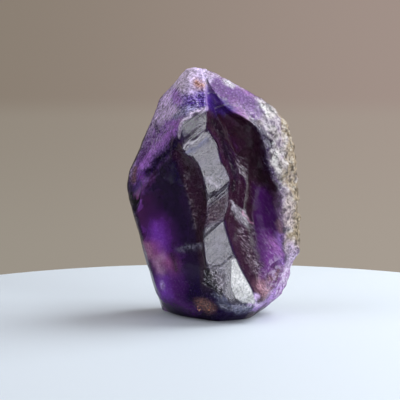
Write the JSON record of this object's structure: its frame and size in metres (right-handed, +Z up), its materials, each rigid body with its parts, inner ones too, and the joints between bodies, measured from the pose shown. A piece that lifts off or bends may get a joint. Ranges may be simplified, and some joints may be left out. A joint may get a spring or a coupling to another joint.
{
  "type": "rough amethyst crystal",
  "caption": "Single rough amethyst crystal standing on its flat broken base, with a stepped bright cleavage-like face down the front, a hollow beside it and grey rind down one edge.",
  "frame": {"origin": "middle of the stone's outline seen from above, on the plane of its flat base", "axes": "+Z up towards the tip, -Y out of the front with the bright stepped face, +X towards the grey rind"},
  "size_m": [0.0408, 0.0304, 0.059],
  "materials": {
    "amethyst": "clear to cloudy violet quartz, glossy on its broken faces, frosted lavender at the tip, with a pitted grey rind down the right edge",
    "veil": "wispy pale healed cracks sealed in the crystal",
    "rust": "dull orange-brown iron oxide specks sealed in the crystal"
  },
  "bodies": {
    "root": {"amethyst_crystal": "amethyst"}
  },
  "joints": []
}
